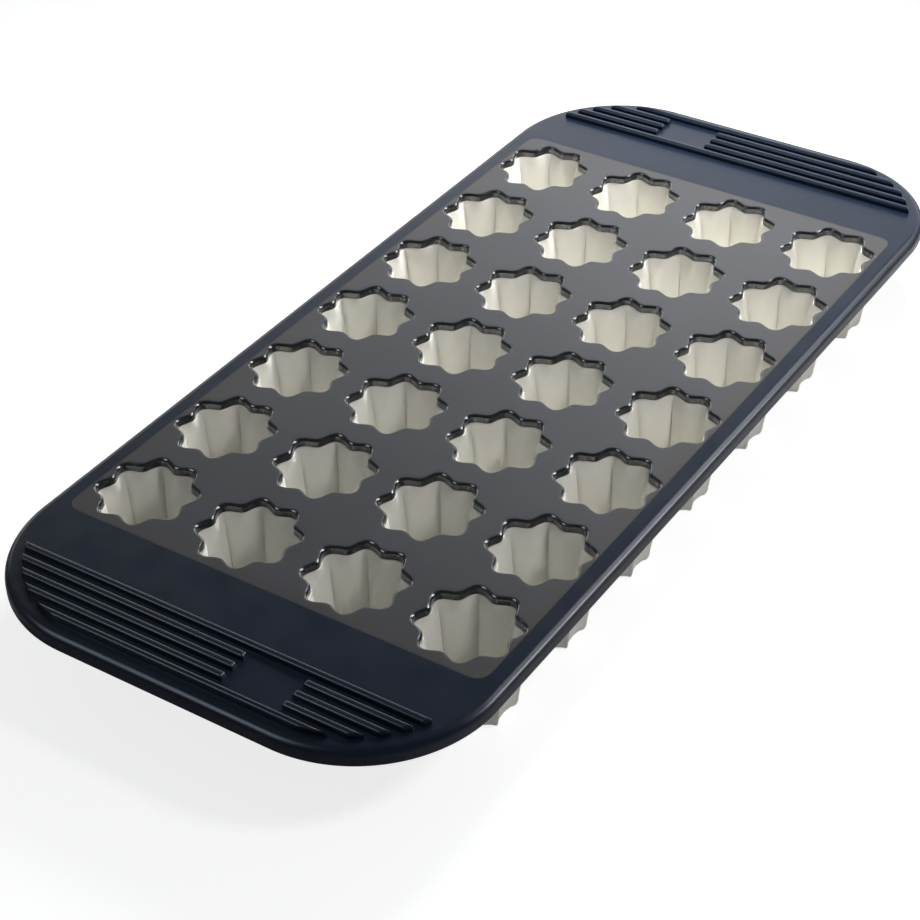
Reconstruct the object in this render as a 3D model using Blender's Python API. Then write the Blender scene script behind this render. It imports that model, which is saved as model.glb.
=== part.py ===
"""Silicone mould tray that bakes small fluted cakes, built piece by piece.

Twenty-eight tapered cups with eight flutes hang under a flat panel. The panel is lapped into a
long frame with a thick rounded rim, and a steel wire runs inside the rim. Each end of the frame
has a ribbed grip, let into a shallow pocket, with a bare field between its ribs.

Metres, +Z up. X runs across the tray, Y along it, and the cups stand on Z = 0.
"""

import math

import bmesh
import bpy

# Cups
CUP_COLUMNS = 4
CUP_ROWS = 7
FLUTES = 8
MOUTH_RADIUS = 0.0174
FLUTE_DEPTH = 0.0030
CUP_DEPTH = 0.031
CUP_DRAFT = 0.0038
FLOOR_FLUTE_DEPTH = 0.0024
FLOOR_ROUND = 0.0030
FLOOR_ROUND_REACH_SHARE = 2 / 3
CUP_WALL = 0.0013
CUP_RIM_WALL = 0.0019
CUP_FLOOR = 0.0014
CUP_WEB = 0.00985

# Panel
PANEL_THICKNESS = 0.0030
PANEL_SIDE_MARGIN = 0.0019
PANEL_END_MARGIN = 0.0044
PANEL_CORNER_RADIUS = 0.0055
LAP_WIDTH = 0.0012
LAP_THICKNESS = 0.0014

# Frame
SIDE_BORDER = 0.0070
END_BORDER = 0.0510
OUTLINE_RADIUS = 0.0480
DECK_THICKNESS = 0.0030
RIM_WIDTH = 0.0042
RIM_ROUND = 0.0028
RIM_HEIGHT = 0.0062
RIM_BOTTOM_ROUND = 0.0012
RIM_INNER_WALL = 0.0009

# Rim wire and the pin holes that held it in the tool
WIRE_DIAMETER = 0.0020
WIRE_DEPTH = 0.0030
WIRE_PLACE_SHARE = 2 / 3
PIN_HOLE_DIAMETER = 0.0022
PIN_PLACE_SHARE = 0.5

# Grips
RIB_COUNT = 5
RIB_PITCH = 0.0052
RIB_WIDTH = 0.0032
RIB_HEIGHT = 0.0020
RIB_DRAFT = 0.0002
RIB_EDGE = 0.0007
RIB_ROOT = 0.0005
FIELD_WIDTH = 0.0218
FIELD_OFFSET = 0.0260
PAD_THICKNESS = 0.0012
PAD_MARGIN = 0.0005

# Fits
CLEARANCE = 0.0003
CUT_OVERRUN = 0.0020

# Smoothness
POINTS_PER_FLUTE = 4
CORNER_STEPS = 6
PANEL_CORNER_STEPS = 3
RIM_ROUND_STEPS = 4
WIRE_SIDES = 6
PIN_SIDES = 6
SHARP_ANGLE = math.radians(35)

# Colours, roughness and metallic value of each material
NAVY = (0.022, 0.034, 0.050)
GREY = (0.080, 0.082, 0.092)
CREAM = (0.620, 0.610, 0.520)
STEEL = (0.560, 0.570, 0.580)
SILICONE_ROUGHNESS = 0.50
GLOSSY_ROUGHNESS = 0.35
STEEL_ROUGHNESS = 0.30

# Places worked out from the sizes above
FLUTE_ANGLE = math.tau / FLUTES
HOLE_REACH = MOUTH_RADIUS * math.cos(FLUTE_ANGLE / 2)
CUP_PITCH = 2 * HOLE_REACH + CUP_WEB
DECK_TOP = CUP_FLOOR + CUP_DEPTH
PANEL_BOTTOM = DECK_TOP - PANEL_THICKNESS
CUP_TOP = PANEL_BOTTOM - CLEARANCE
PANEL_HALF_WIDTH = (CUP_COLUMNS - 1) / 2 * CUP_PITCH + HOLE_REACH + PANEL_SIDE_MARGIN
PANEL_HALF_LENGTH = (CUP_ROWS - 1) / 2 * CUP_PITCH + HOLE_REACH + PANEL_END_MARGIN
HALF_WIDTH = PANEL_HALF_WIDTH + SIDE_BORDER
HALF_LENGTH = PANEL_HALF_LENGTH + END_BORDER
WIRE_INSET = RIM_WIDTH * WIRE_PLACE_SHARE
POCKET_INSET = RIM_WIDTH + PAD_MARGIN
PAD_INSET = POCKET_INSET + CLEARANCE
RIB_INSET = PAD_INSET + PAD_MARGIN


def clear_scene():
    for item in list(bpy.data.objects):
        bpy.data.objects.remove(item, do_unlink=True)


def make_material(name, colour, roughness, metallic=0.0):
    material = bpy.data.materials.new(name)
    material.use_nodes = True
    shader = material.node_tree.nodes["Principled BSDF"]
    shader.inputs["Base Color"].default_value = (*colour, 1.0)
    shader.inputs["Roughness"].default_value = roughness
    shader.inputs["Metallic"].default_value = metallic
    return material


def add_object(name, mesh, material=None):
    mesh.shade_smooth()
    mesh.set_sharp_from_angle(angle=SHARP_ANGLE)
    item = bpy.data.objects.new(name, mesh)
    if material is not None:
        mesh.materials.append(material)
    bpy.context.collection.objects.link(item)
    return item


def add_cutter(name, mesh):
    item = add_object(name, mesh)
    item.hide_render = True
    item.display_type = "WIRE"
    return item


def add_boolean(item, tool, operation):
    modifier = item.modifiers.new(tool.name, "BOOLEAN")
    modifier.operation = operation
    modifier.solver = "EXACT"
    modifier.object = tool


# Outlines

def rounded_rectangle(half_width, half_length, radius, steps):
    """Counter-clockwise corner points of a rectangle whose corners are arcs."""
    centre_x = half_width - radius
    centre_y = half_length - radius
    points = []
    for corner, (side_x, side_y) in enumerate(((1, 1), (-1, 1), (-1, -1), (1, -1))):
        for step in range(steps + 1):
            angle = (corner + step / steps) * math.pi / 2
            x = side_x * centre_x + radius * math.cos(angle)
            y = side_y * centre_y + radius * math.sin(angle)
            points.append((x, y))
    return points


def outline(inset):
    """The tray's outer edge, moved inwards."""
    return rounded_rectangle(HALF_WIDTH - inset, HALF_LENGTH - inset, OUTLINE_RADIUS - inset,
                             CORNER_STEPS)


def panel_edge(growth, steps):
    """The visible edge of the panel, moved outwards."""
    return rounded_rectangle(PANEL_HALF_WIDTH + growth, PANEL_HALF_LENGTH + growth,
                             PANEL_CORNER_RADIUS + growth, steps)


def fluted_ring(tip_radius, flute_depth, points_per_flute):
    """One turn of a wave: the valleys face X and Y, and the tips lie between them."""
    count = FLUTES * points_per_flute
    points = []
    for step in range(count):
        angle = math.tau * step / count
        wave = (1 + math.cos(FLUTES * angle)) / 2
        radius = tip_radius - flute_depth * wave
        points.append((radius * math.cos(angle), radius * math.sin(angle)))
    return points


def half_width_at(y, inset):
    """How far the moved outline reaches in X at a distance y along the tray."""
    radius = OUTLINE_RADIUS - inset
    past_centre = max(0.0, y - (HALF_LENGTH - OUTLINE_RADIUS))
    return HALF_WIDTH - OUTLINE_RADIUS + math.sqrt(max(0.0, radius ** 2 - past_centre ** 2))


# Meshes from rings of points

def add_ring(bm, points, height):
    return [bm.verts.new((x, y, height)) for x, y in points]


def bridge(bm, first, second):
    count = len(first)
    for step in range(count):
        following = (step + 1) % count
        bm.faces.new((first[step], first[following], second[following], second[step]))


def bridge_to_half(bm, wide, narrow):
    """Joins a ring to one with half as many points."""
    for step, inner in enumerate(narrow):
        next_inner = narrow[(step + 1) % len(narrow)]
        start = wide[2 * step]
        middle = wide[2 * step + 1]
        end = wide[(2 * step + 2) % len(wide)]
        bm.faces.new((start, middle, inner))
        bm.faces.new((middle, next_inner, inner))
        bm.faces.new((middle, end, next_inner))


def finish_mesh(bm, name):
    bmesh.ops.recalc_face_normals(bm, faces=bm.faces[:])
    mesh = bpy.data.meshes.new(name)
    bm.to_mesh(mesh)
    bm.free()
    return mesh


def stacked_mesh(name, rings):
    """A solid through a stack of (points, height) rings, closed by its first and last."""
    bm = bmesh.new()
    loops = [add_ring(bm, points, height) for points, height in rings]
    for lower, upper in zip(loops, loops[1:]):
        bridge(bm, lower, upper)
    bm.faces.new(loops[0])
    bm.faces.new(loops[-1])
    return finish_mesh(bm, name)


def hoop_mesh(name, rings):
    """A closed hoop: the rings go once round its section, and the last meets the first."""
    bm = bmesh.new()
    loops = [add_ring(bm, points, height) for points, height in rings]
    for step, loop in enumerate(loops):
        bridge(bm, loop, loops[(step + 1) % len(loops)])
    return finish_mesh(bm, name)


def merged_mesh(name, meshes_and_places):
    """Several meshes in one, each moved by its (x, y) place."""
    bm = bmesh.new()
    for mesh, (x, y) in meshes_and_places:
        known = len(bm.verts)
        bm.from_mesh(mesh)
        bm.verts.ensure_lookup_table()
        bmesh.ops.translate(bm, verts=bm.verts[known:], vec=(x, y, 0.0))
    return finish_mesh(bm, name)


def cup_places():
    """Name and centre of every cup: row 1 is the front row, column 1 the left one."""
    for row in range(CUP_ROWS):
        for column in range(CUP_COLUMNS):
            x = (column - (CUP_COLUMNS - 1) / 2) * CUP_PITCH
            y = (row - (CUP_ROWS - 1) / 2) * CUP_PITCH
            yield f"cup_r{row + 1}_c{column + 1}", (x, y)


# Cups

def cup_mesh():
    """A thin fluted beaker: down the inside, over the rim and down the outside."""
    mouth_drop = CUP_DRAFT * (PANEL_THICKNESS + CLEARANCE) / CUP_DEPTH
    round_top = CUP_FLOOR + FLOOR_ROUND
    wall_draft = CUP_DRAFT * (CUP_DEPTH - FLOOR_ROUND) / CUP_DEPTH
    mouth_tip = MOUTH_RADIUS - mouth_drop
    floor_tip = MOUTH_RADIUS - wall_draft
    floor_inner = floor_tip - FLOOR_ROUND * FLOOR_ROUND_REACH_SHARE
    full = POINTS_PER_FLUTE
    half = POINTS_PER_FLUTE // 2

    bm = bmesh.new()
    inner_floor = add_ring(bm, fluted_ring(floor_inner, FLOOR_FLUTE_DEPTH, half), CUP_FLOOR)
    inner_round = add_ring(bm, fluted_ring(floor_tip, FLOOR_FLUTE_DEPTH, full), round_top)
    inner_mouth = add_ring(bm, fluted_ring(mouth_tip, FLUTE_DEPTH, full), CUP_TOP)
    outer_mouth = add_ring(bm, fluted_ring(mouth_tip + CUP_RIM_WALL, FLUTE_DEPTH, full), CUP_TOP)
    outer_round = add_ring(bm, fluted_ring(floor_tip + CUP_WALL, FLOOR_FLUTE_DEPTH, full),
                           round_top)
    outer_floor = add_ring(bm, fluted_ring(floor_inner + CUP_WALL, FLOOR_FLUTE_DEPTH, half), 0.0)
    bm.faces.new(inner_floor)
    bridge_to_half(bm, inner_round, inner_floor)
    bridge(bm, inner_round, inner_mouth)
    bridge(bm, inner_mouth, outer_mouth)
    bridge(bm, outer_mouth, outer_round)
    bridge_to_half(bm, outer_round, outer_floor)
    bm.faces.new(outer_floor)
    return finish_mesh(bm, "cup")


def build_cups(material):
    mesh = cup_mesh()
    for name, (x, y) in cup_places():
        cup = add_object(name, mesh, material if not mesh.materials else None)
        cup.location = (x, y, 0.0)


# Panel

def build_panel(material):
    """A flat sheet with a lower flange that laps under the frame, and one hole a cup."""
    flange_top = PANEL_BOTTOM + LAP_THICKNESS
    body = panel_edge(0.0, PANEL_CORNER_STEPS)
    flange = panel_edge(LAP_WIDTH, PANEL_CORNER_STEPS)
    panel = add_object("panel", stacked_mesh("panel", [
        (flange, PANEL_BOTTOM),
        (flange, flange_top),
        (body, flange_top),
        (body, DECK_TOP),
    ]), material)
    hole_outline = fluted_ring(MOUTH_RADIUS, FLUTE_DEPTH, POINTS_PER_FLUTE)
    hole = stacked_mesh("hole", [
        (hole_outline, PANEL_BOTTOM - CUT_OVERRUN),
        (hole_outline, DECK_TOP + CUT_OVERRUN),
    ])
    holes = merged_mesh("holes", [(hole, place) for name, place in cup_places()])
    add_boolean(panel, add_cutter("hole_cutter", holes), "DIFFERENCE")


# Frame

def rim_rings():
    """Rings over the rim: flat where it leaves the deck, and upright at the tray's edge."""
    rings = []
    for step in range(RIM_ROUND_STEPS + 1):
        angle = math.pi / 2 * step / RIM_ROUND_STEPS
        inset = RIM_ROUND * (1 - math.sin(angle))
        drop = RIM_ROUND * (1 - math.cos(angle))
        rings.append((outline(inset), DECK_TOP - drop))
    return rings


def frame_mesh():
    """One hoop: lip, deck, rounded rim and its side, deck underside and the seat of the lap."""
    bottom = DECK_TOP - RIM_HEIGHT
    underside = DECK_TOP - DECK_THICKNESS
    seat = PANEL_BOTTOM + LAP_THICKNESS + CLEARANCE
    rim_inner = WIRE_INSET + WIRE_DIAMETER / 2 + CLEARANCE + RIM_INNER_WALL
    lip = panel_edge(CLEARANCE, CORNER_STEPS)
    lap = panel_edge(CLEARANCE + LAP_WIDTH, CORNER_STEPS)
    rings = [(lip, DECK_TOP)]
    rings += rim_rings()
    rings += [
        (outline(0.0), bottom + RIM_BOTTOM_ROUND),
        (outline(RIM_BOTTOM_ROUND), bottom),
        (outline(rim_inner - RIM_BOTTOM_ROUND / 2), bottom),
        (outline(rim_inner), underside),
        (lap, underside),
        (lap, seat),
        (lip, seat),
    ]
    return hoop_mesh("frame", rings)


def wire_rings(radius):
    """Rings round a wire of this radius, on the line that the rim wire follows."""
    rings = []
    for side in range(WIRE_SIDES):
        angle = math.tau * side / WIRE_SIDES
        inset = WIRE_INSET + radius * math.cos(angle)
        height = DECK_TOP - WIRE_DEPTH + radius * math.sin(angle)
        rings.append((outline(inset), height))
    return rings


def pin_places():
    """Two pin holes on each straight run of the rim, over the wire."""
    side_x = HALF_WIDTH - WIRE_INSET
    side_y = (HALF_LENGTH - OUTLINE_RADIUS) * PIN_PLACE_SHARE
    end_x = (HALF_WIDTH - OUTLINE_RADIUS) * PIN_PLACE_SHARE
    end_y = HALF_LENGTH - WIRE_INSET
    for across in (-1, 1):
        for along in (-1, 1):
            yield across * side_x, along * side_y
            yield across * end_x, along * end_y


def build_frame(material):
    frame = add_object("frame", frame_mesh(), material)
    tunnel_radius = WIRE_DIAMETER / 2 + CLEARANCE / math.cos(math.pi / WIRE_SIDES)
    tunnel = add_cutter("tunnel_cutter", hoop_mesh("tunnel", wire_rings(tunnel_radius)))
    add_boolean(frame, tunnel, "DIFFERENCE")

    pin_outline = [(PIN_HOLE_DIAMETER / 2 * math.cos(math.tau * side / PIN_SIDES),
                    PIN_HOLE_DIAMETER / 2 * math.sin(math.tau * side / PIN_SIDES))
                   for side in range(PIN_SIDES)]
    pin = stacked_mesh("pin", [
        (pin_outline, DECK_TOP - RIM_HEIGHT - CUT_OVERRUN),
        (pin_outline, DECK_TOP - WIRE_DEPTH),
    ])
    pins = merged_mesh("pins", [(pin, place) for place in pin_places()])
    add_boolean(frame, add_cutter("pin_cutter", pins), "DIFFERENCE")

    pocket = stacked_mesh("pocket", [
        (grip_outline(POCKET_INSET, CLEARANCE), DECK_TOP - PAD_THICKNESS - CLEARANCE),
        (grip_outline(POCKET_INSET, CLEARANCE), DECK_TOP + CUT_OVERRUN),
    ])
    for name, turn in (("front_pocket_cutter", math.pi), ("rear_pocket_cutter", 0.0)):
        cutter = add_cutter(name, pocket)
        cutter.rotation_euler = (0.0, 0.0, turn)
        add_boolean(frame, cutter, "DIFFERENCE")


def build_wire(material):
    add_object("rim_wire", hoop_mesh("rim_wire", wire_rings(WIRE_DIAMETER / 2)), material)


# Grips, drawn for the rear end and turned half round for the front one

def rib_span(index):
    """Inner and outer edge, in Y, of a rib counted from the outermost one."""
    outer = HALF_LENGTH - RIB_INSET - index * RIB_PITCH
    return outer - RIB_WIDTH, outer


def grip_outline(inset, growth):
    """The pad's plan: straight along its inner edge, and parallel to the tray's rim."""
    inner_y = rib_span(RIB_COUNT - 1)[0] - PAD_MARGIN - growth
    centre_x = HALF_WIDTH - OUTLINE_RADIUS
    centre_y = HALF_LENGTH - OUTLINE_RADIUS
    radius = OUTLINE_RADIUS - inset
    start = math.asin((inner_y - centre_y) / radius)
    points = []
    for side in (1, -1):
        for step in range(CORNER_STEPS):
            share = step / (CORNER_STEPS - 1)
            if side < 0:
                share = 1 - share
            angle = start + (math.pi / 2 - start) * share
            points.append((side * (centre_x + radius * math.cos(angle)),
                           centre_y + radius * math.sin(angle)))
    return points


def rib_mesh(left_inner, left_outer, right_inner, right_outer, span):
    """A bar with drafted sides and an eased top edge; its ends may run aslant."""
    inner, outer = span
    rings = []
    levels = (
        (0.0, DECK_TOP - RIB_ROOT),
        (RIB_DRAFT, DECK_TOP + RIB_HEIGHT - RIB_EDGE),
        (RIB_DRAFT + RIB_EDGE, DECK_TOP + RIB_HEIGHT),
    )
    for shrink, height in levels:
        rings.append(([
            (left_inner + shrink, inner + shrink),
            (right_inner - shrink, inner + shrink),
            (right_outer - shrink, outer - shrink),
            (left_outer + shrink, outer - shrink),
        ], height))
    return stacked_mesh("rib", rings)


def grip_mesh():
    """Pad and ribs in one: the inner and outer rib run through, the others leave the field."""
    field_left = -FIELD_OFFSET - FIELD_WIDTH / 2
    field_right = -FIELD_OFFSET + FIELD_WIDTH / 2
    ribs = []
    for index in range(RIB_COUNT):
        span = rib_span(index)
        reach_inner = half_width_at(span[0], RIB_INSET)
        reach_outer = half_width_at(span[1] - RIB_DRAFT, RIB_INSET)
        if index in (0, RIB_COUNT - 1):
            ribs.append(rib_mesh(-reach_inner, -reach_outer, reach_inner, reach_outer, span))
        else:
            ribs.append(rib_mesh(-reach_inner, -reach_outer, field_left, field_left, span))
            ribs.append(rib_mesh(field_right, field_right, reach_inner, reach_outer, span))
    pad = add_object("pad", stacked_mesh("pad", [
        (grip_outline(PAD_INSET, 0.0), DECK_TOP - PAD_THICKNESS),
        (grip_outline(PAD_INSET, 0.0), DECK_TOP),
    ]))
    tool = add_cutter("ribs", merged_mesh("ribs", [(rib, (0.0, 0.0)) for rib in ribs]))
    add_boolean(pad, tool, "UNION")
    depsgraph = bpy.context.evaluated_depsgraph_get()
    mesh = bpy.data.meshes.new_from_object(pad.evaluated_get(depsgraph))
    for item in (pad, tool):
        bpy.data.objects.remove(item, do_unlink=True)
    return mesh


def build_grips(material):
    mesh = grip_mesh()
    mesh.materials.clear()
    for name, turn in (("front_grip", math.pi), ("rear_grip", 0.0)):
        grip = add_object(name, mesh, material if not mesh.materials else None)
        grip.rotation_euler = (0.0, 0.0, turn)


def main():
    clear_scene()
    build_cups(make_material("cream_silicone", CREAM, SILICONE_ROUGHNESS))
    build_panel(make_material("grey_silicone", GREY, GLOSSY_ROUGHNESS))
    build_frame(make_material("navy_silicone", NAVY, SILICONE_ROUGHNESS))
    build_grips(make_material("navy_grip", NAVY, SILICONE_ROUGHNESS))
    build_wire(make_material("rim_steel", STEEL, STEEL_ROUGHNESS, metallic=1.0))


main()
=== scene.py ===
"""Looks of the silicone mould tray: fluted cups, panel, rimmed frame, ribbed grips and rim wire.

Metres, +Z up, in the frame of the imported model. The soft solids are modelled again with smooth
curves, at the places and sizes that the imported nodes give, and the rim wire keeps its own mesh.
"""

import math

import bmesh
import bpy
from mathutils import Matrix, Vector


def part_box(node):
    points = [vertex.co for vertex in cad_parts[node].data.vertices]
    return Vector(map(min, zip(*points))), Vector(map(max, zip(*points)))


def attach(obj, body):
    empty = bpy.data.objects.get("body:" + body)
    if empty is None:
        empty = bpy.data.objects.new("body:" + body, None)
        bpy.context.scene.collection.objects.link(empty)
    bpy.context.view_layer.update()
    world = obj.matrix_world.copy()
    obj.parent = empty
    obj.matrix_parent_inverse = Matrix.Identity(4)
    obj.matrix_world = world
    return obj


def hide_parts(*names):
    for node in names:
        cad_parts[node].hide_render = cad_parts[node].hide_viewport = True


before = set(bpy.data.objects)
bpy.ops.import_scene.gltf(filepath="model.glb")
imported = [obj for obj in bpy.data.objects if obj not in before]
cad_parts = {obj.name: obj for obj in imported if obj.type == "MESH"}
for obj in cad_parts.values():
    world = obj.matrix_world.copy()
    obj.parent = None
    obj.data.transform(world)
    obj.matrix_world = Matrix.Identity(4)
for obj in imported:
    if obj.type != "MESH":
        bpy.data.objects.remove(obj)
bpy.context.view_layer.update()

CUP_COLUMNS = 4
CUP_ROWS = 7
FLUTES = 8
FLUTE_ANGLE = math.tau / FLUTES

# Cup: its flutes at the mouth and at the floor, its walls, and the round foot
FLUTE_DEPTH = 0.0030
FLOOR_FLUTE_DEPTH = 0.0024
CUP_DRAFT = 0.0038
CUP_WALL = 0.0013
CUP_RIM_WALL = 0.0019
CUP_FLOOR = 0.0014
FLOOR_ROUND = 0.0030
FLOOR_ROUND_REACH = 0.0020
FLOOR_RING_SHARES = (0.25, 0.6, 0.9)
FLUTE_SHARPNESS = 0.72
SHARPENING_HEIGHT = 0.0050

# Panel
LAP_WIDTH = 0.0012
LAP_THICKNESS = 0.0014
PANEL_CORNER_RADIUS = 0.0055
LIP_ROUND = 0.0013
LIP_SUPPORT = 0.0003

# Frame
OUTLINE_RADIUS = 0.0480
DECK_THICKNESS = 0.0030
RIM_WIDTH = 0.0042
RIM_ROUND = 0.0028
RIM_HEIGHT = 0.0062
RIM_BOTTOM_ROUND = 0.0012
RIM_INNER = 0.0050
RIM_SUPPORT = 0.0003
WIRE_INSET = 0.0028
WIRE_DEPTH = 0.0030
TUNNEL_RADIUS = 0.0013
PIN_HOLE_RADIUS = 0.0011
PIN_PLACE_SHARE = 0.5

# Grips, with ribs that are rounded along their top edges and at their ends
RIB_COUNT = 5
RIB_PITCH = 0.0052
RIB_WIDTH = 0.0032
RIB_HEIGHT = 0.0020
RIB_DRAFT = 0.0002
RIB_ROUND = 0.0011
RIB_END_ROUND = 0.0008
RIB_LEAST_END_SHARE = 0.25
RIB_ROOT = 0.0005
FIELD_WIDTH = 0.0218
FIELD_OFFSET = 0.0260
PAD_THICKNESS = 0.0012
PAD_MARGIN = 0.0005

# Fits: bonded silicone shows no gap, so the seams are closer here than in the solids
SEAM = 0.00003
POCKET_GAP = 0.00003
CUT_OVERRUN = 0.0020

# Smoothness
POINTS_PER_FLUTE = 20
WALL_STEPS = 12
ROUND_STEPS = 6
RIM_STEPS = 12
RIB_END_STEPS = 14
CORNER_STEPS = 36
PANEL_CORNER_STEPS = 10
TUNNEL_SIDES = 10
PIN_SIDES = 20
SHARP_ANGLE = math.radians(40)

# Camera, found by fitting the rows and columns of cups to the photograph
CAMERA_FROM_DECK = Vector((0.34015, -0.54409, 0.43723))
CAMERA_AIM_ON_DECK = Vector((0.01578, -0.05808, 0.0))
CAMERA_ROLL = math.radians(-1.31)
LENS_MM = 85.46
SENSOR_MM = 36.0
CLIP_START = 0.05
CLIP_END = 30.0

# Finishes: linear colours, the scales of patches, smears and marks, and ranges of roughness
NAVY = ((0.0044, 0.0096, 0.0215), (0.0056, 0.0114, 0.0240))
NAVY_PATCHES = 38.0
NAVY_SMEARS = 90.0
NAVY_ROUGHNESS = (0.28, 0.35)
NAVY_GRAIN = 0.20
SMOKE = ((0.0390, 0.0410, 0.0475), (0.0420, 0.0440, 0.0505))
# Painted light: a warm tint near the panel's edge, for light showing through the silicone there
SMOKE_EDGE_PAINTED_LIGHT = (0.0425, 0.0412, 0.0420)
SMOKE_SEAM = (0.014, 0.018, 0.026)
SMOKE_PATCHES = 24.0
SMOKE_SMEARS = 70.0
SMOKE_ROUGHNESS = (0.36, 0.42)
SMOKE_GRAIN = 0.12
# Painted shade: near black over the lips of the holes, whose walls lie in shade
LIP_PAINTED_SHADE = (0.0080, 0.0090, 0.0115)
LIP_ROUGHNESS_CHANGE = -0.20
LIP_COAT_ROUGHNESS = 0.12
LIP_COAT_IOR = 1.6
CREAM = ((0.770, 0.755, 0.700), (0.800, 0.785, 0.735))
CREAM_PATCHES = 60.0
CREAM_SMEARS = 120.0
CREAM_ROUGHNESS = (0.36, 0.46)
CREAM_GRAIN = 0.10
CREAM_SCATTER_COLOUR = (1.0, 0.97, 0.90)
CREAM_SCATTER_DEPTH = 0.0010
STEEL = ((0.50, 0.51, 0.52), (0.60, 0.61, 0.62))
STEEL_MARKS = 900.0
STEEL_ROUGHNESS = (0.26, 0.38)
SILICONE_IOR = 1.42

# Noises: the levels where patches and smears reach their two ends, the detail, and the grain
PATCH_LOW, PATCH_HIGH = 0.35, 0.65
SMEAR_LOW, SMEAR_HIGH = 0.3, 0.7
SOFT_DETAIL = 4.0
FINE_DETAIL = 5.0
GRAIN_DETAIL = 2.0
GRAIN_SCALE = 2600.0
GRAIN_HEIGHT = 0.00004

# Where the panel's colour changes: distances from its edge, which blends round its corners, for the
# painted light near the edge and the seam line, and depths below its top, where the painted shade of
# the lips begins
EDGE_CORNER_BLEND = 0.003
EDGE_LIGHT_REACH = (0.0015, 0.0090)
SEAM_LINE = (-0.0004, 0.0011)
LIP_START = (0.00002, 0.00018)

# Studio
ROOM_COLOUR = (0.09, 0.10, 0.115)
BACKGROUND_COLOUR = (0.80, 0.81, 0.82)
FLOOR_COLOUR = (0.93, 0.935, 0.94)
FLOOR_HALF_SIZE = 8.0
FLOOR_GAP = 0.0002
FLOOR_ROUGHNESS = 0.6
FLOOR_GLOW_SHARE = 0.5
FLOOR_GLOW = 1.6

# Lamps, aimed at the deck: azimuth and elevation in degrees, distance, then width and height in
# metres, watts, colour, and the role of each, which add_lamp explains
LAMPS = {
    "above_far_end": (182, 42, 0.31, (0.18, 0.18), 1.9, (1.0, 1.0, 0.99), "light"),
    "right_side": (90, 44, 0.60, (0.12, 0.12), 1.05, (1.0, 0.99, 0.97), "light"),
    "front_card": (-40, 42, 1.3, (0.7, 0.7), 5.2, (0.72, 0.86, 1.0), "card"),
    "right_card": (156, 41, 1.4, (0.66, 0.66), 6.8, (0.96, 0.97, 1.0), "card"),
    "low_card": (130, 24, 1.4, (0.60, 0.38), 10.0, (0.98, 0.98, 1.0), "card"),
    "back_card": (213, 16, 1.6, (3.4, 0.62), 10.8, (1.0, 0.975, 0.93), "card"),
}

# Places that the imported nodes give
FRAME_LOW, FRAME_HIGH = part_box("frame")
PANEL_LOW, PANEL_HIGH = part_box("panel")
DECK_TOP = PANEL_HIGH.z
PANEL_BOTTOM = PANEL_LOW.z
HALF_WIDTH = (FRAME_HIGH.x - FRAME_LOW.x) / 2
HALF_LENGTH = (FRAME_HIGH.y - FRAME_LOW.y) / 2
PANEL_HALF_WIDTH = (PANEL_HIGH.x - PANEL_LOW.x) / 2 - LAP_WIDTH
PANEL_HALF_LENGTH = (PANEL_HIGH.y - PANEL_LOW.y) / 2 - LAP_WIDTH
FIRST_CUP_LOW, FIRST_CUP_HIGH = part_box("cup_r1_c1")
CUP_OUTER_TIP = (FIRST_CUP_HIGH.x - FIRST_CUP_LOW.x) / 2 / math.cos(FLUTE_ANGLE / 2)
MOUTH_TIP = CUP_OUTER_TIP - CUP_RIM_WALL
CUP_DEPTH = DECK_TOP - CUP_FLOOR
MOUTH_RADIUS = MOUTH_TIP + CUP_DRAFT * (DECK_TOP - FIRST_CUP_HIGH.z) / CUP_DEPTH
POCKET_INSET = RIM_WIDTH + PAD_MARGIN
PAD_INSET = POCKET_INSET + POCKET_GAP
RIB_INSET = -FRAME_LOW.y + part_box("front_grip")[0].y + PAD_MARGIN


# Materials

def new_material(name):
    material = bpy.data.materials.new(name)
    material.use_nodes = True
    return material, material.node_tree, material.node_tree.nodes["Principled BSDF"]


def add_node(tree, kind, **settings):
    node = tree.nodes.new(kind)
    for name, value in settings.items():
        setattr(node, name, value)
    return node


def object_noise(tree, scale, detail):
    """A noise that is fixed to the object, with features about 1 / scale metres across."""
    place = add_node(tree, "ShaderNodeTexCoord")
    noise = add_node(tree, "ShaderNodeTexNoise")
    noise.inputs["Scale"].default_value = scale
    noise.inputs["Detail"].default_value = detail
    tree.links.new(place.outputs["Object"], noise.inputs["Vector"])
    return noise.outputs["Fac"]


def colour_between(tree, factor, colours):
    """Two colours in soft patches, where the factor is a noise."""
    ramp = add_node(tree, "ShaderNodeValToRGB")
    for element, position, colour in zip(ramp.color_ramp.elements, (PATCH_LOW, PATCH_HIGH), colours):
        element.position = position
        element.color = (*colour, 1.0)
    tree.links.new(factor, ramp.inputs["Fac"])
    return ramp.outputs["Color"]


def map_range(tree, value, from_low, from_high, to_low, to_high, smooth=False):
    node = add_node(tree, "ShaderNodeMapRange")
    node.interpolation_type = "SMOOTHSTEP" if smooth else "LINEAR"
    node.inputs["From Min"].default_value = from_low
    node.inputs["From Max"].default_value = from_high
    node.inputs["To Min"].default_value = to_low
    node.inputs["To Max"].default_value = to_high
    tree.links.new(value, node.inputs["Value"])
    return node.outputs["Result"]


def math_node(tree, operation, *values):
    node = add_node(tree, "ShaderNodeMath", operation=operation)
    for socket, value in zip(node.inputs, values):
        if isinstance(value, (int, float)):
            socket.default_value = value
        else:
            tree.links.new(value, socket)
    return node.outputs["Value"]


def mix_colour(tree, factor, first, second):
    node = add_node(tree, "ShaderNodeMix", data_type="RGBA")
    tree.links.new(factor, node.inputs["Factor"])
    for name, value in (("A", first), ("B", second)):
        socket = next(s for s in node.inputs if s.name == name and s.type == "RGBA")
        if isinstance(value, tuple):
            socket.default_value = (*value, 1.0)
        else:
            tree.links.new(value, socket)
    return next(s for s in node.outputs if s.type == "RGBA")


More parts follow.
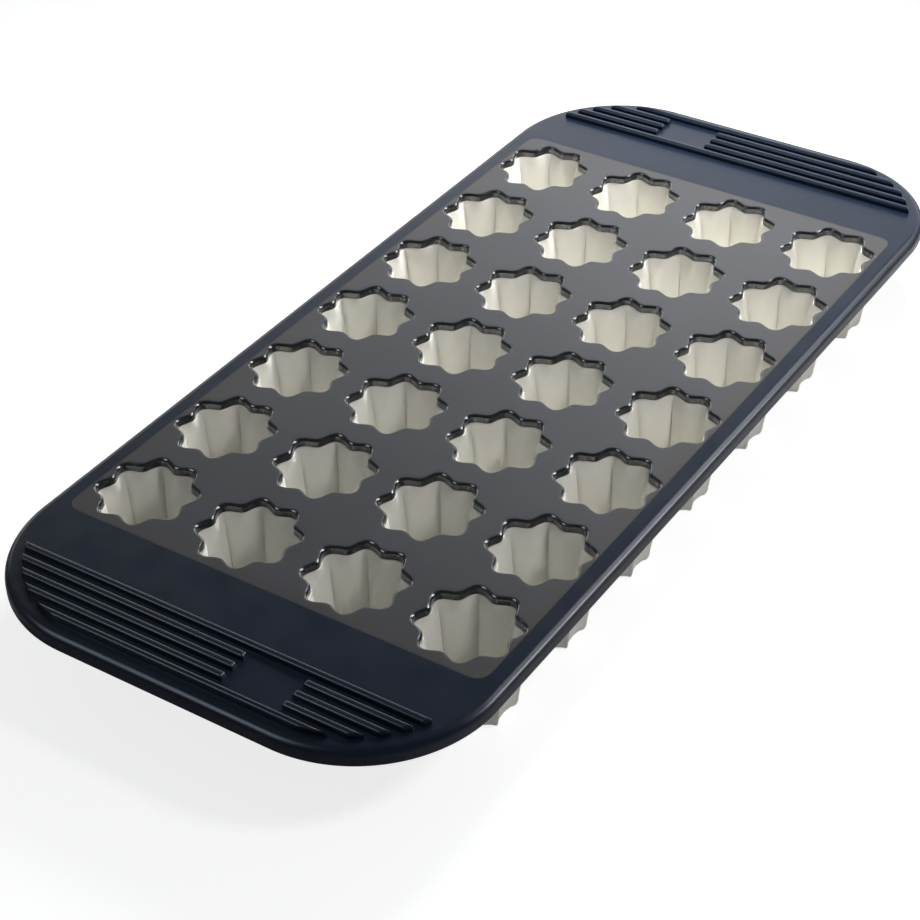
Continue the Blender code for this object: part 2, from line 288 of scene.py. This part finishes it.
def add_bump(tree, shader, height, strength, distance):
    bump = add_node(tree, "ShaderNodeBump")
    bump.inputs["Strength"].default_value = strength
    bump.inputs["Distance"].default_value = distance
    tree.links.new(height, bump.inputs["Height"])
    tree.links.new(bump.outputs["Normal"], shader.inputs["Normal"])


def add_smears(tree, shader, noise, roughness):
    """Roughness that varies a little over the surface."""
    varied = map_range(tree, noise, SMEAR_LOW, SMEAR_HIGH, *roughness)
    tree.links.new(varied, shader.inputs["Roughness"])


def fine_grain(tree, shader, strength):
    """The faint matt grain that a blasted tool leaves on silicone."""
    grain = object_noise(tree, GRAIN_SCALE, GRAIN_DETAIL)
    add_bump(tree, shader, grain, strength, GRAIN_HEIGHT)


def navy_silicone(name):
    material, tree, shader = new_material(name)
    patches = object_noise(tree, NAVY_PATCHES, SOFT_DETAIL)
    tree.links.new(colour_between(tree, patches, NAVY), shader.inputs["Base Color"])
    add_smears(tree, shader, object_noise(tree, NAVY_SMEARS, FINE_DETAIL), NAVY_ROUGHNESS)
    shader.inputs["IOR"].default_value = SILICONE_IOR
    fine_grain(tree, shader, NAVY_GRAIN)
    return material


def panel_silicone(name):
    """Smoky grey on its flat top, with painted light warming it near its edge, and glossier over the
    lips of the holes, whose near black is painted shade.
    """
    material, tree, shader = new_material(name)
    place = add_node(tree, "ShaderNodeTexCoord")
    split = add_node(tree, "ShaderNodeSeparateXYZ")
    tree.links.new(place.outputs["Object"], split.inputs["Vector"])
    side = math_node(tree, "SUBTRACT", PANEL_HALF_WIDTH,
                     math_node(tree, "ABSOLUTE", split.outputs["X"]))
    end = math_node(tree, "SUBTRACT", PANEL_HALF_LENGTH,
                    math_node(tree, "ABSOLUTE", split.outputs["Y"]))
    edge = math_node(tree, "SMOOTH_MIN", side, end, EDGE_CORNER_BLEND)
    patches = object_noise(tree, SMOKE_PATCHES, SOFT_DETAIL)
    grey = colour_between(tree, patches, SMOKE)
    # Painted light: the grey turns warmer towards the panel's edge
    edge_light = map_range(tree, edge, *EDGE_LIGHT_REACH, 1.0, 0.0, smooth=True)
    edge_lit = mix_colour(tree, edge_light, grey, SMOKE_EDGE_PAINTED_LIGHT)
    border = map_range(tree, edge, *SEAM_LINE, 1.0, 0.0, smooth=True)
    flat = mix_colour(tree, border, edge_lit, SMOKE_SEAM)
    # Painted shade: the lips turn near black just below the deck's top; the same mask also makes
    # them glossier
    lip_levels = [DECK_TOP - depth for depth in LIP_START]
    lip = map_range(tree, split.outputs["Z"], *lip_levels, 0.0, 1.0, smooth=True)
    tree.links.new(mix_colour(tree, lip, flat, LIP_PAINTED_SHADE), shader.inputs["Base Color"])
    smears = object_noise(tree, SMOKE_SMEARS, FINE_DETAIL)
    satin = map_range(tree, smears, SMEAR_LOW, SMEAR_HIGH, *SMOKE_ROUGHNESS)
    gloss = math_node(tree, "MULTIPLY", lip, LIP_ROUGHNESS_CHANGE)
    tree.links.new(math_node(tree, "ADD", satin, gloss), shader.inputs["Roughness"])
    shader.inputs["IOR"].default_value = SILICONE_IOR
    tree.links.new(lip, shader.inputs["Coat Weight"])
    shader.inputs["Coat Roughness"].default_value = LIP_COAT_ROUGHNESS
    shader.inputs["Coat IOR"].default_value = LIP_COAT_IOR
    fine_grain(tree, shader, SMOKE_GRAIN)
    return material


def cream_silicone(name):
    """Thin-walled, so that light from outside the cup shows through."""
    material, tree, shader = new_material(name)
    patches = object_noise(tree, CREAM_PATCHES, SOFT_DETAIL)
    tree.links.new(colour_between(tree, patches, CREAM), shader.inputs["Base Color"])
    add_smears(tree, shader, object_noise(tree, CREAM_SMEARS, SOFT_DETAIL), CREAM_ROUGHNESS)
    shader.inputs["IOR"].default_value = SILICONE_IOR
    shader.inputs["Subsurface Weight"].default_value = 1.0
    shader.inputs["Subsurface Radius"].default_value = CREAM_SCATTER_COLOUR
    shader.inputs["Subsurface Scale"].default_value = CREAM_SCATTER_DEPTH
    fine_grain(tree, shader, CREAM_GRAIN)
    return material


def drawn_steel(name):
    material, tree, shader = new_material(name)
    marks = object_noise(tree, STEEL_MARKS, SOFT_DETAIL)
    tree.links.new(colour_between(tree, marks, STEEL), shader.inputs["Base Color"])
    shader.inputs["Metallic"].default_value = 1.0
    add_smears(tree, shader, marks, STEEL_ROUGHNESS)
    return material


# Outlines

def quarter_turn(steps):
    """Angles from zero to a right angle."""
    return [math.pi / 2 * step / steps for step in range(steps + 1)]


def rounded_rectangle(half_width, half_length, radius, steps):
    """Counter-clockwise corner points of a rectangle whose corners are arcs."""
    points = []
    for corner, (side_x, side_y) in enumerate(((1, 1), (-1, 1), (-1, -1), (1, -1))):
        for step in range(steps + 1):
            angle = (corner + step / steps) * math.pi / 2
            x = side_x * (half_width - radius) + radius * math.cos(angle)
            y = side_y * (half_length - radius) + radius * math.sin(angle)
            points.append((x, y))
    return points


def outline(inset):
    return rounded_rectangle(HALF_WIDTH - inset, HALF_LENGTH - inset, OUTLINE_RADIUS - inset,
                             CORNER_STEPS)


def panel_edge(growth, steps):
    return rounded_rectangle(PANEL_HALF_WIDTH + growth, PANEL_HALF_LENGTH + growth,
                             PANEL_CORNER_RADIUS + growth, steps)


def fluted_ring(tip_radius, flute_depth, sharpness=0.0):
    """One turn of a wave: its ridges face X and Y, and its tips, which can be sharp, lie between."""
    count = FLUTES * POINTS_PER_FLUTE
    points = []
    for step in range(count):
        angle = math.tau * step / count
        wave = (1 + math.cos(FLUTES * angle)) / 2
        radius = tip_radius - flute_depth * wave ** (1 - sharpness)
        points.append((radius * math.cos(angle), radius * math.sin(angle)))
    return points


def half_width_at(y, inset):
    """Half the tray's width at a place along it, for an outline drawn in by the inset."""
    radius = OUTLINE_RADIUS - inset
    past_centre = max(0.0, y - (HALF_LENGTH - OUTLINE_RADIUS))
    return HALF_WIDTH - OUTLINE_RADIUS + math.sqrt(max(0.0, radius ** 2 - past_centre ** 2))


# Meshes from rings of points

def add_ring(bm, points, height, place=(0.0, 0.0)):
    return [bm.verts.new((x + place[0], y + place[1], height)) for x, y in points]


def bridge(bm, first, second):
    for step in range(len(first)):
        following = (step + 1) % len(first)
        bm.faces.new((first[step], first[following], second[following], second[step]))


def bridge_all(bm, loops):
    for first, second in zip(loops, loops[1:]):
        bridge(bm, first, second)


def ring_edges(bm, loop):
    return [bm.edges.get((loop[i], loop[(i + 1) % len(loop)])) for i in range(len(loop))]


def finish_mesh(bm, name):
    bmesh.ops.recalc_face_normals(bm, faces=bm.faces[:])
    mesh = bpy.data.meshes.new(name)
    bm.to_mesh(mesh)
    bm.free()
    return mesh


def stacked_mesh(name, rings):
    bm = bmesh.new()
    loops = [add_ring(bm, points, height) for points, height in rings]
    bridge_all(bm, loops)
    bm.faces.new(loops[0])
    bm.faces.new(loops[-1])
    return finish_mesh(bm, name)


def hoop_mesh(name, rings):
    bm = bmesh.new()
    loops = [add_ring(bm, points, height) for points, height in rings]
    bridge_all(bm, loops + loops[:1])
    return finish_mesh(bm, name)


def merged_mesh(name, meshes_and_places):
    bm = bmesh.new()
    for mesh, (x, y) in meshes_and_places:
        known = len(bm.verts)
        bm.from_mesh(mesh)
        bm.verts.ensure_lookup_table()
        bmesh.ops.translate(bm, verts=bm.verts[known:], vec=(x, y, 0.0))
    return finish_mesh(bm, name)


def new_object(name, mesh, material=None):
    item = bpy.data.objects.new(name, mesh)
    if material is not None and not mesh.materials:
        mesh.materials.append(material)
    bpy.context.scene.collection.objects.link(item)
    return item


def smooth(mesh):
    mesh.shade_smooth()
    mesh.set_sharp_from_angle(angle=SHARP_ANGLE)


def boolean_result(name, base, tools, operation):
    """A new mesh: base with each tool cut from it or joined to it."""
    item = new_object(name, base)
    cutters = [new_object(f"{name}_tool", tool) for tool in tools]
    for cutter in cutters:
        modifier = item.modifiers.new(cutter.name, "BOOLEAN")
        modifier.operation = operation
        modifier.solver = "EXACT"
        modifier.object = cutter
    depsgraph = bpy.context.evaluated_depsgraph_get()
    mesh = bpy.data.meshes.new_from_object(item.evaluated_get(depsgraph))
    for thing in (item, *cutters):
        bpy.data.objects.remove(thing, do_unlink=True)
    mesh.materials.clear()
    return mesh


def add_piece(name, mesh, material, slot, *nodes):
    item = new_object(name, mesh, material)
    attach(item, "root")
    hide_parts(*nodes)


# Cups

def cup_mesh():
    """A thin fluted beaker: up the outside, over the rim, down the inside to a flat floor."""
    rim_height = PANEL_BOTTOM - SEAM
    round_top = CUP_FLOOR + FLOOR_ROUND
    floor_tip = MOUTH_RADIUS - CUP_DRAFT * (CUP_DEPTH - FLOOR_ROUND) / CUP_DEPTH
    rim_tip = MOUTH_RADIUS - CUP_DRAFT * (DECK_TOP - rim_height) / CUP_DEPTH

    def half(wall, rim_wall, lowest):
        """Rings from the floor's middle up to the rim, moved out by the wall."""
        rings = []
        for share in FLOOR_RING_SHARES:
            reach = (floor_tip - FLOOR_ROUND_REACH + wall) * share
            rings.append((fluted_ring(reach, FLOOR_FLUTE_DEPTH * share, FLUTE_SHARPNESS), lowest))
        for turn in quarter_turn(ROUND_STEPS):
            tip = floor_tip + wall - FLOOR_ROUND_REACH * (1 - math.sin(turn))
            height = lowest + (round_top - lowest) * (1 - math.cos(turn))
            rings.append((fluted_ring(tip, FLOOR_FLUTE_DEPTH, FLUTE_SHARPNESS), height))
        for step in range(1, WALL_STEPS + 1):
            share = step / WALL_STEPS
            height = round_top + (rim_height - round_top) * share
            tip = floor_tip + wall + (rim_tip + rim_wall - floor_tip - wall) * share
            depth = FLOOR_FLUTE_DEPTH + (FLUTE_DEPTH - FLOOR_FLUTE_DEPTH) * share
            blunting = max(0.0, 1 - (rim_height - height) / SHARPENING_HEIGHT)
            rings.append((fluted_ring(tip, depth, FLUTE_SHARPNESS * (1 - blunting)), height))
        return rings

    outer = half(CUP_WALL, CUP_RIM_WALL, 0.0)
    inner = half(0.0, 0.0, CUP_FLOOR)
    bm = bmesh.new()
    loops = [add_ring(bm, points, height) for points, height in outer + inner[::-1]]
    bridge_all(bm, loops)
    for loop, height in ((loops[0], 0.0), (loops[-1], CUP_FLOOR)):
        centre = bm.verts.new((0.0, 0.0, height))
        for step in range(len(loop)):
            bm.faces.new((loop[step], loop[(step + 1) % len(loop)], centre))
    mesh = finish_mesh(bm, "fluted_cup")
    smooth(mesh)
    return mesh


def cup_places():
    """Name and centre of every cup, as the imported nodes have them."""
    for row in range(CUP_ROWS):
        for column in range(CUP_COLUMNS):
            node = f"cup_r{row + 1}_c{column + 1}"
            low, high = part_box(node)
            yield node, ((low.x + high.x) / 2, (low.y + high.y) / 2)


def build_cups():
    material = cream_silicone("cream_silicone")
    mesh = cup_mesh()
    for node, (x, y) in cup_places():
        cup = new_object(f"fluted_{node}", mesh, material)
        cup.location = (x, y, 0.0)
        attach(cup, "root")
        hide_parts(node)


# Panel

def lip_rings():
    """The wall of a hole from the panel's underside up, over its rounded lip and onto the deck."""
    rings = [(fluted_ring(MOUTH_RADIUS, FLUTE_DEPTH), PANEL_BOTTOM)]
    for turn in quarter_turn(ROUND_STEPS):
        tip = MOUTH_RADIUS + LIP_ROUND * (1 - math.cos(turn))
        height = DECK_TOP - LIP_ROUND * (1 - math.sin(turn))
        rings.append((fluted_ring(tip, FLUTE_DEPTH), height))
    rings.append((fluted_ring(MOUTH_RADIUS + LIP_ROUND + LIP_SUPPORT, FLUTE_DEPTH), DECK_TOP))
    return rings


def panel_mesh():
    """The lapped sheet: its rim and the walls of its holes first, then the two flat faces."""
    flange_top = PANEL_BOTTOM + LAP_THICKNESS
    body = panel_edge(-SEAM, PANEL_CORNER_STEPS)
    flange = panel_edge(LAP_WIDTH - SEAM, PANEL_CORNER_STEPS)
    bm = bmesh.new()
    rim = [add_ring(bm, points, height) for points, height in (
        (flange, PANEL_BOTTOM),
        (flange, flange_top),
        (body, flange_top),
        (body, DECK_TOP),
    )]
    bridge_all(bm, rim)
    low_edges = ring_edges(bm, rim[0])
    high_edges = ring_edges(bm, rim[-1])
    for _, place in cup_places():
        loops = [add_ring(bm, points, height, place) for points, height in lip_rings()]
        bridge_all(bm, loops)
        low_edges += ring_edges(bm, loops[0])
        high_edges += ring_edges(bm, loops[-1])
    for edges in (low_edges, high_edges):
        bmesh.ops.triangle_fill(bm, use_beauty=True, edges=edges)
    mesh = finish_mesh(bm, "panel_sheet")
    smooth(mesh)
    return mesh


def build_panel():
    add_piece("smoky_panel", panel_mesh(), panel_silicone("smoky_silicone"),
              "panel_silicone", "panel")


# Frame

def rim_rings():
    """From the flat deck over the rounded rim and down the tray's side to its lower edge."""
    bottom = DECK_TOP - RIM_HEIGHT
    rings = [(outline(RIM_ROUND + RIM_SUPPORT), DECK_TOP)]
    for turn in quarter_turn(RIM_STEPS):
        inset = RIM_ROUND * (1 - math.sin(turn))
        rings.append((outline(inset), DECK_TOP - RIM_ROUND * (1 - math.cos(turn))))
    for turn in quarter_turn(ROUND_STEPS):
        inset = RIM_BOTTOM_ROUND * (1 - math.cos(turn))
        rings.append((outline(inset), bottom + RIM_BOTTOM_ROUND * (1 - math.sin(turn))))
    return rings


def frame_mesh():
    """One hoop: lip, deck, rim, deck underside and the seat of the lap."""
    bottom = DECK_TOP - RIM_HEIGHT
    underside = DECK_TOP - DECK_THICKNESS
    seat = PANEL_BOTTOM + LAP_THICKNESS + SEAM
    lip = panel_edge(0.0, CORNER_STEPS)
    lap = panel_edge(LAP_WIDTH, CORNER_STEPS)
    rings = [(lip, DECK_TOP)]
    rings += rim_rings()
    rings += [
        (outline(RIM_INNER - RIM_BOTTOM_ROUND / 2), bottom),
        (outline(RIM_INNER), underside),
        (lap, underside),
        (lap, seat),
        (lip, seat),
    ]
    return hoop_mesh("frame_blank", rings)


def tunnel_mesh():
    """The round channel inside the rim, in which the wire lies."""
    rings = []
    for side in range(TUNNEL_SIDES):
        angle = math.tau * side / TUNNEL_SIDES
        rings.append((outline(WIRE_INSET + TUNNEL_RADIUS * math.cos(angle)),
                      DECK_TOP - WIRE_DEPTH + TUNNEL_RADIUS * math.sin(angle)))
    return hoop_mesh("tunnel", rings)


def pins_mesh():
    """Eight pins, which cut holes from the rim's underside up to the wire."""
    circle = [(PIN_HOLE_RADIUS * math.cos(math.tau * side / PIN_SIDES),
               PIN_HOLE_RADIUS * math.sin(math.tau * side / PIN_SIDES))
              for side in range(PIN_SIDES)]
    pin = stacked_mesh("pin", [
        (circle, DECK_TOP - RIM_HEIGHT - CUT_OVERRUN),
        (circle, DECK_TOP - WIRE_DEPTH),
    ])
    side_x = HALF_WIDTH - WIRE_INSET
    side_y = (HALF_LENGTH - OUTLINE_RADIUS) * PIN_PLACE_SHARE
    end_x = (HALF_WIDTH - OUTLINE_RADIUS) * PIN_PLACE_SHARE
    end_y = HALF_LENGTH - WIRE_INSET
    places = [(across * x, along * y) for across in (-1, 1) for along in (-1, 1)
              for x, y in ((side_x, side_y), (end_x, end_y))]
    return merged_mesh("pins", [(pin, place) for place in places])


def turned(mesh):
    """The same mesh, half a turn round, for the front end."""
    copy = mesh.copy()
    copy.transform(Matrix.Rotation(math.pi, 4, "Z"))
    return copy


def build_frame():
    pocket = stacked_mesh("pocket", [
        (grip_outline(POCKET_INSET, POCKET_GAP), DECK_TOP - PAD_THICKNESS - POCKET_GAP),
        (grip_outline(POCKET_INSET, POCKET_GAP), DECK_TOP + CUT_OVERRUN),
    ])
    mesh = boolean_result("frame_shape", frame_mesh(),
                          [tunnel_mesh(), pins_mesh(), pocket, turned(pocket)], "DIFFERENCE")
    smooth(mesh)
    add_piece("rimmed_frame", mesh, navy_silicone("navy_silicone"), "frame_silicone", "frame")


# Grips, drawn for the rear end and turned half round for the front one

def rib_span(index):
    outer = HALF_LENGTH - RIB_INSET - index * RIB_PITCH
    return outer - RIB_WIDTH, outer


def grip_outline(inset, growth):
    """The pad's plan: straight along its inner edge, and parallel to the tray's rim."""
    inner_y = rib_span(RIB_COUNT - 1)[0] - PAD_MARGIN - growth
    centre_x = HALF_WIDTH - OUTLINE_RADIUS
    centre_y = HALF_LENGTH - OUTLINE_RADIUS
    radius = OUTLINE_RADIUS - inset
    start = math.asin((inner_y - centre_y) / radius)
    right = []
    for step in range(CORNER_STEPS + 1):
        angle = start + (math.pi / 2 - start) * step / CORNER_STEPS
        right.append((centre_x + radius * math.cos(angle), centre_y + radius * math.sin(angle)))
    return right + [(-x, y) for x, y in right[::-1]]


def rib_outline(index, left, right, shrink):
    """A rib's plan, drawn in by shrink: an end without a limit follows the rim's arc."""
    inner, outer = rib_span(index)
    middle = (inner + outer) / 2
    half = (outer - inner) / 2 - shrink
    round_off = max(RIB_END_ROUND - shrink, RIB_END_ROUND * RIB_LEAST_END_SHARE)

    def end(limit, side, y):
        reach = side * half_width_at(y, RIB_INSET) if limit is None else limit
        into_corner = max(0.0, abs(y - middle) - (half - round_off))
        cut = round_off - math.sqrt(max(0.0, round_off ** 2 - into_corner ** 2))
        return reach - side * (shrink + cut)

    across = [middle - half * math.cos(math.pi * step / RIB_END_STEPS)
              for step in range(RIB_END_STEPS + 1)]
    right_side = [(end(right, 1, y), y) for y in across]
    left_side = [(end(left, -1, y), y) for y in across[::-1]]
    return right_side + left_side


def rib_mesh(index, left, right):
    """A bar with drafted sides and a rounded top edge."""
    rings = [(rib_outline(index, left, right, 0.0), DECK_TOP - RIB_ROOT)]
    for turn in quarter_turn(ROUND_STEPS):
        shrink = RIB_DRAFT + RIB_ROUND * (1 - math.cos(turn))
        height = DECK_TOP + RIB_HEIGHT - RIB_ROUND * (1 - math.sin(turn))
        rings.append((rib_outline(index, left, right, shrink), height))
    return stacked_mesh("rib", rings)


def grip_mesh():
    """Pad and ribs in one: the inner and outer rib run through, the others leave the field."""
    field_left = -FIELD_OFFSET - FIELD_WIDTH / 2
    field_right = -FIELD_OFFSET + FIELD_WIDTH / 2
    ribs = []
    for index in range(RIB_COUNT):
        if index in (0, RIB_COUNT - 1):
            ribs.append(rib_mesh(index, None, None))
        else:
            ribs.append(rib_mesh(index, None, field_left))
            ribs.append(rib_mesh(index, field_right, None))
    pad = stacked_mesh("pad", [
        (grip_outline(PAD_INSET, 0.0), DECK_TOP - PAD_THICKNESS),
        (grip_outline(PAD_INSET, 0.0), DECK_TOP),
    ])
    bars = merged_mesh("bars", [(rib, (0.0, 0.0)) for rib in ribs])
    mesh = boolean_result("grip_shape", pad, [bars], "UNION")
    smooth(mesh)
    return mesh


def build_grips():
    material = navy_silicone("navy_grip")
    rear = grip_mesh()
    add_piece("rear_ribbed_grip", rear, material, "grip_silicone", "rear_grip")
    add_piece("front_ribbed_grip", turned(rear), material, "grip_silicone", "front_grip")


def dress_wire():
    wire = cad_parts["rim_wire"]
    wire.data.materials.clear()
    wire.data.materials.append(drawn_steel("drawn_steel"))


# Studio

def direction(azimuth, elevation):
    """Azimuth 0 is the side that faces -Y, and 90 the side that faces +X, in degrees."""
    a = math.radians(azimuth)
    e = math.radians(elevation)
    return Vector((math.sin(a) * math.cos(e), -math.cos(a) * math.cos(e), math.sin(e)))


def add_lamp(name, azimuth, elevation, distance, size, power, colour, role):
    """A lamp aimed at the deck. A light never shows in a reflection, and a card only there."""
    lamp = bpy.data.lights.new(name, "AREA")
    lamp.shape = "ELLIPSE"
    lamp.size, lamp.size_y = size
    lamp.energy = power
    lamp.color = colour
    item = bpy.data.objects.new(name, lamp)
    target = Vector((0.0, 0.0, DECK_TOP))
    towards = direction(azimuth, elevation)
    item.location = target + towards * distance
    item.rotation_euler = towards.to_track_quat("Z", "Y").to_euler()
    item.visible_camera = False
    item.visible_glossy = role == "card"
    item.visible_diffuse = role == "light"
    bpy.context.scene.collection.objects.link(item)


def build_lamps():
    for name, facts in LAMPS.items():
        add_lamp(name, *facts)


def build_world():
    """A dim room. Seen straight on it is pale, so that a low view has a plain background."""
    world = bpy.data.worlds.new("studio")
    bpy.context.scene.world = world
    world.use_nodes = True
    tree = world.node_tree
    rays = add_node(tree, "ShaderNodeLightPath")
    colour = mix_colour(tree, rays.outputs["Is Camera Ray"], ROOM_COLOUR, BACKGROUND_COLOUR)
    tree.links.new(colour, tree.nodes["Background"].inputs["Color"])


def build_floor():
    """A pale floor that glows to the camera, and still takes the object's shadow."""
    bm = bmesh.new()
    bmesh.ops.create_grid(bm, x_segments=1, y_segments=1, size=FLOOR_HALF_SIZE)
    floor = new_object("floor", finish_mesh(bm, "floor"))
    material, tree, shader = new_material("pale_floor")
    shader.inputs["Base Color"].default_value = (*FLOOR_COLOUR, 1.0)
    shader.inputs["Roughness"].default_value = FLOOR_ROUGHNESS
    white = add_node(tree, "ShaderNodeEmission")
    rays = add_node(tree, "ShaderNodeLightPath")
    seen = math_node(tree, "MAXIMUM", rays.outputs["Is Camera Ray"],
                     rays.outputs["Is Glossy Ray"])
    share = math_node(tree, "MULTIPLY", seen, FLOOR_GLOW_SHARE)
    tree.links.new(math_node(tree, "MULTIPLY", rays.outputs["Is Camera Ray"], FLOOR_GLOW),
                   white.inputs["Strength"])
    mix = add_node(tree, "ShaderNodeMixShader")
    tree.links.new(share, mix.inputs["Fac"])
    tree.links.new(shader.outputs["BSDF"], mix.inputs[1])
    tree.links.new(white.outputs["Emission"], mix.inputs[2])
    tree.links.new(mix.outputs["Shader"], tree.nodes["Material Output"].inputs["Surface"])
    floor.data.materials.append(material)
    floor.location = (0.0, 0.0, -FLOOR_GAP)


def build_camera():
    camera = bpy.data.cameras.new("camera")
    camera.sensor_width = SENSOR_MM
    camera.lens = LENS_MM
    camera.clip_start = CLIP_START
    camera.clip_end = CLIP_END
    item = bpy.data.objects.new("camera", camera)
    deck = Vector((0.0, 0.0, DECK_TOP))
    item.location = deck + CAMERA_FROM_DECK
    back = item.location - (deck + CAMERA_AIM_ON_DECK)
    turn = back.to_track_quat("Z", "Y").to_matrix() @ Matrix.Rotation(CAMERA_ROLL, 3, "Z")
    item.rotation_euler = turn.to_euler()
    bpy.context.scene.collection.objects.link(item)
    bpy.context.scene.camera = item


bpy.context.scene.view_settings.view_transform = "Standard"
build_camera()
build_cups()
build_panel()
build_frame()
build_grips()
dress_wire()
build_floor()
build_world()
build_lamps()
